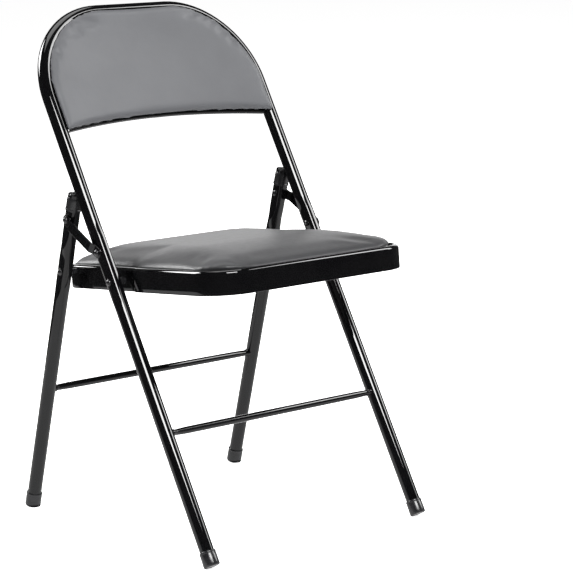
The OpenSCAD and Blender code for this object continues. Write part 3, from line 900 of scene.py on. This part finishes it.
def makeBackPad():
    s = backPad
    piece = backBlank("backPad", s["inset"], s["rows"])
    grow((0, 0.1, 0))
    bpy.ops.object.mode_set(mode="OBJECT")
    half = back["half"] - s["inset"]
    top = back["top"] - s["inset"]
    # rolled edges and a slight crown in front, and a lap over the tubes behind
    for vertex in piece.data.vertices:
        x, z = vertex.co.x, vertex.co.z
        floorLine = back["bottom"] + s["inset"] + back["arch"] * (1 - (x / half) ** 2)
        gap = min(roundedGap(x, z, half, 0, top, back["lowCorner"], back["corner"]), z - floorLine)
        if vertex.co.y > 0.05:
            share = min(max((gap - s["lapRun"]) / (3 * mm), 0), 1)
            vertex.co.y = s["lap"] + (s["thick"] - s["lap"]) * share
        else:
            vertex.co.y = (s["roll"] * (1 - swell(gap, s["round"], 2))
                           - s["crown"] * swell(gap, s["crownRun"], 2) * min(gap / s["round"], 1))
    bpy.ops.object.mode_set(mode="EDIT")
    closePiece(piece)
    puffUp(piece, s, lambda co: co.y > 6 * mm)
    curveBack(piece)
    setDown(piece, frontPlace)
    return fitPiece(piece, "frame", backVinyl, "back_vinyl", "back_cushion")


makeBackPad()
print("back pad stuffed")

backSheet = {"inset": 4.5 * mm, "behind": 10.1 * mm, "sheet": 1.2 * mm, "rollRadius": 2.4 * mm,
             "lip": 5 * mm, "rows": 10, "plainEnds": 9 * mm}


def makeBackPanel():
    s = backSheet
    piece = backBlank("backPanel", s["inset"], s["rows"])
    half, bottom = back["half"] - s["inset"], back["bottom"] + s["inset"]
    pick(piece, "EDGE", lambda co:
         abs(co.z - (bottom + back["arch"] * (1 - (co.x / half) ** 2))) < 2e-4
         and abs(co.x) < back["half"] - s["plainEnds"])
    for k in range(1, 5):         # the bottom edge is rolled back to a stiffening lip
        turn, last = math.radians(22.5) * k, math.radians(22.5) * (k - 1)
        grow((0, s["rollRadius"] * (math.cos(last) - math.cos(turn)),
              -s["rollRadius"] * (math.sin(turn) - math.sin(last))))
    grow((0, s["lip"], 0))
    bpy.ops.mesh.select_all(action="SELECT")
    bpy.ops.mesh.normals_make_consistent(inside=False)
    bpy.ops.object.mode_set(mode="OBJECT")
    for vertex in piece.data.vertices:
        vertex.co.y += s["behind"]
    curveBack(piece)
    useModifier(piece, "SOLIDIFY", thickness=s["sheet"], offset=0, use_even_offset=True,
                use_rim=True)
    smoothPiece(piece, 35)
    setDown(piece, frontPlace)
    return fitPiece(piece, "frame", sheetEnamel, "black_enamel", "back_panel")


makeBackPanel()
print("back panel rolled")

# floor and light
bpy.ops.mesh.primitive_plane_add(size=80, location=(0, 0, 0))
floor = bpy.context.object
floor.name = "floor"
floor.visible_glossy = False      # the enamel mirrors a dark studio, and a low card lights it
floorPaint, tree, shader, place = newFinish("paleFloor", Roughness=0.9)
shader.inputs["Specular IOR Level"].default_value = 0.1
shader.inputs["Emission Color"].default_value = (1, 1, 1, 1)
shader.inputs["Emission Strength"].default_value = 0.92
tree.links.new(mottle(tree, place, 2.0, "#F4F4F4", "#F7F7F7"), shader.inputs["Base Color"])
floor.data.materials.append(floorPaint)

world = bpy.data.worlds.new("studio")
scene.world = world
world.use_nodes = True
air = world.node_tree
path = addNode(air, "LightPath", {}, {})
tone = addNode(air, "MapRange", {"To Min": 0.05, "To Max": 1.0},
               {"Value": path.outputs["Is Camera Ray"]})
air.links.new(tone.outputs["Result"], air.nodes["Background"].inputs["Strength"])
air.nodes["Background"].inputs["Color"].default_value = (1, 1, 1, 1)
scene.view_settings.view_transform = "Standard"


# glow is the panel's own brightness, whatever its size
def addSoftbox(name, azimuth, height, distance, wide, tall, glow):
    aim = Vector((0, 0, 0.45))
    turn = math.radians(azimuth)
    place = Vector((-math.sin(turn) * distance, -math.cos(turn) * distance, height))
    bpy.ops.object.light_add(type="AREA", location=place)
    lamp = bpy.context.object
    lamp.name = name
    lamp.data.shape = "RECTANGLE"
    lamp.data.size = wide
    lamp.data.size_y = tall
    lamp.data.energy = glow * math.pi * wide * tall
    lamp.visible_camera = False
    lamp.rotation_euler = (aim - place).to_track_quat("-Z", "Y").to_euler()
    return lamp


addSoftbox("mainPanel", 20, 3.5, 3.4, 2.2, 1.3, 24)
addSoftbox("edgeStrip", -62, 2.6, 3.4, 1.1, 2.2, 12)
addSoftbox("rimPanel", 155, 2.3, 3.4, 1.6, 1.6, 20)
addSoftbox("topPanel", 200, 3.4, 0.8, 2.4, 1.8, 3)
addSoftbox("rearPanel", 222, 1.0, 3.6, 3.4, 1.6, 1.7)
card = addSoftbox("lowCard", 0, 0.004, 0, 3.2, 3.2, 0.7)     # lies on the floor and shines up
card.data.shape = "DISK"
card.rotation_euler = (math.pi, 0, 0)
print("floor and light set")
